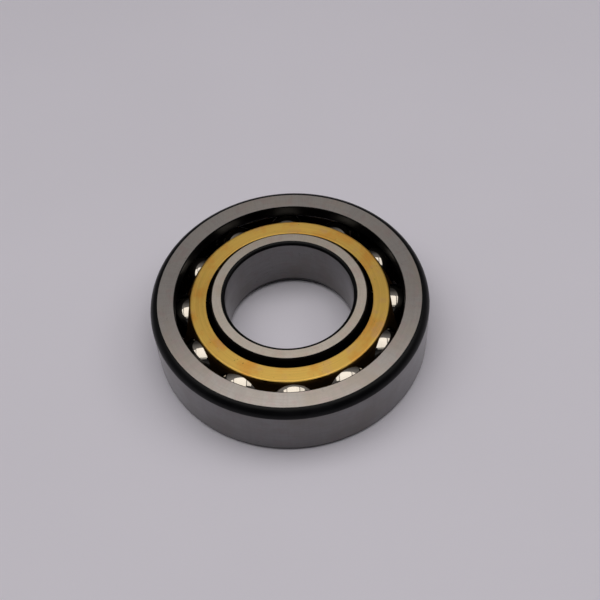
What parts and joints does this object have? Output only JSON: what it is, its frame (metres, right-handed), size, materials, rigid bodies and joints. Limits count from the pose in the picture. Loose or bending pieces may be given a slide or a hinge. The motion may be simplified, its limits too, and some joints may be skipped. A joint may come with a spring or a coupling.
{
  "type": "angular contact ball bearing",
  "caption": "Single-row angular contact ball bearing: ground steel rings with offset shoulders, polished steel balls and a one-piece machined brass window cage.",
  "frame": {"origin": "on the bearing's axis, in the plane of the outer ring's front (narrow) face, which the bearing lies on", "axes": "+Z along the axis, from the outer ring's front face to its back (wide, high-shoulder) face; +X through the centre of ball_01 at rest"},
  "size_m": [0.13, 0.13, 0.031],
  "materials": {
    "ring_steel": "ground faces, bore and outside; turned black corners and shoulders; polished grooves",
    "cage_brass": "fine turned",
    "ball_steel": "mirror polished"
  },
  "bodies": {
    "outer_ring": {"outer_ring": "ring_steel"},
    "inner_ring": {"inner_ring": "ring_steel"},
    "cage": {"cage": "cage_brass"},
    "ball_01": {"ball_01": "ball_steel"},
    "ball_02": {"ball_02": "ball_steel"},
    "ball_03": {"ball_03": "ball_steel"},
    "ball_04": {"ball_04": "ball_steel"},
    "ball_05": {"ball_05": "ball_steel"},
    "ball_06": {"ball_06": "ball_steel"},
    "ball_07": {"ball_07": "ball_steel"},
    "ball_08": {"ball_08": "ball_steel"},
    "ball_09": {"ball_09": "ball_steel"},
    "ball_10": {"ball_10": "ball_steel"},
    "ball_11": {"ball_11": "ball_steel"},
    "ball_12": {"ball_12": "ball_steel"}
  },
  "joints": [
    {"name": "inner_ring_spin", "type": "hinge", "parent": "outer_ring", "child": "inner_ring", "pos_m": [0, 0, 0.0155], "axis": [0, 0, 1], "continuous": true},
    {"name": "cage_spin", "type": "hinge", "parent": "outer_ring", "child": "cage", "pos_m": [0, 0, 0.0155], "axis": [0, 0, 1], "continuous": true},
    {"name": "ball_01_spin", "type": "hinge", "parent": "cage", "child": "ball_01", "pos_m": [0.0475, 0, 0.0155], "axis": [-0.6428, 0, 0.766], "continuous": true},
    {"name": "ball_02_spin", "type": "hinge", "parent": "cage", "child": "ball_02", "pos_m": [0.04114, 0.02375, 0.0155], "axis": [-0.5567, -0.3214, 0.766], "continuous": true},
    {"name": "ball_03_spin", "type": "hinge", "parent": "cage", "child": "ball_03", "pos_m": [0.02375, 0.04114, 0.0155], "axis": [-0.3214, -0.5567, 0.766], "continuous": true},
    {"name": "ball_04_spin", "type": "hinge", "parent": "cage", "child": "ball_04", "pos_m": [0, 0.0475, 0.0155], "axis": [0, -0.6428, 0.766], "continuous": true},
    {"name": "ball_05_spin", "type": "hinge", "parent": "cage", "child": "ball_05", "pos_m": [-0.02375, 0.04114, 0.0155], "axis": [0.3214, -0.5567, 0.766], "continuous": true},
    {"name": "ball_06_spin", "type": "hinge", "parent": "cage", "child": "ball_06", "pos_m": [-0.04114, 0.02375, 0.0155], "axis": [0.5567, -0.3214, 0.766], "continuous": true},
    {"name": "ball_07_spin", "type": "hinge", "parent": "cage", "child": "ball_07", "pos_m": [-0.0475, 0, 0.0155], "axis": [0.6428, 0, 0.766], "continuous": true},
    {"name": "ball_08_spin", "type": "hinge", "parent": "cage", "child": "ball_08", "pos_m": [-0.04114, -0.02375, 0.0155], "axis": [0.5567, 0.3214, 0.766], "continuous": true},
    {"name": "ball_09_spin", "type": "hinge", "parent": "cage", "child": "ball_09", "pos_m": [-0.02375, -0.04114, 0.0155], "axis": [0.3214, 0.5567, 0.766], "continuous": true},
    {"name": "ball_10_spin", "type": "hinge", "parent": "cage", "child": "ball_10", "pos_m": [0, -0.0475, 0.0155], "axis": [0, 0.6428, 0.766], "continuous": true},
    {"name": "ball_11_spin", "type": "hinge", "parent": "cage", "child": "ball_11", "pos_m": [0.02375, -0.04114, 0.0155], "axis": [-0.3214, 0.5567, 0.766], "continuous": true},
    {"name": "ball_12_spin", "type": "hinge", "parent": "cage", "child": "ball_12", "pos_m": [0.04114, -0.02375, 0.0155], "axis": [-0.5567, 0.3214, 0.766], "continuous": true}
  ],
  "couplings": [
    {"joint": "cage_spin", "follows": "inner_ring_spin", "ratio": 0.41039},
    {"joint": "ball_01_spin", "follows": "inner_ring_spin", "ratio": -2.0686},
    {"joint": "ball_02_spin", "follows": "inner_ring_spin", "ratio": -2.0686},
    {"joint": "ball_03_spin", "follows": "inner_ring_spin", "ratio": -2.0686},
    {"joint": "ball_04_spin", "follows": "inner_ring_spin", "ratio": -2.0686},
    {"joint": "ball_05_spin", "follows": "inner_ring_spin", "ratio": -2.0686},
    {"joint": "ball_06_spin", "follows": "inner_ring_spin", "ratio": -2.0686},
    {"joint": "ball_07_spin", "follows": "inner_ring_spin", "ratio": -2.0686},
    {"joint": "ball_08_spin", "follows": "inner_ring_spin", "ratio": -2.0686},
    {"joint": "ball_09_spin", "follows": "inner_ring_spin", "ratio": -2.0686},
    {"joint": "ball_10_spin", "follows": "inner_ring_spin", "ratio": -2.0686},
    {"joint": "ball_11_spin", "follows": "inner_ring_spin", "ratio": -2.0686},
    {"joint": "ball_12_spin", "follows": "inner_ring_spin", "ratio": -2.0686}
  ]
}
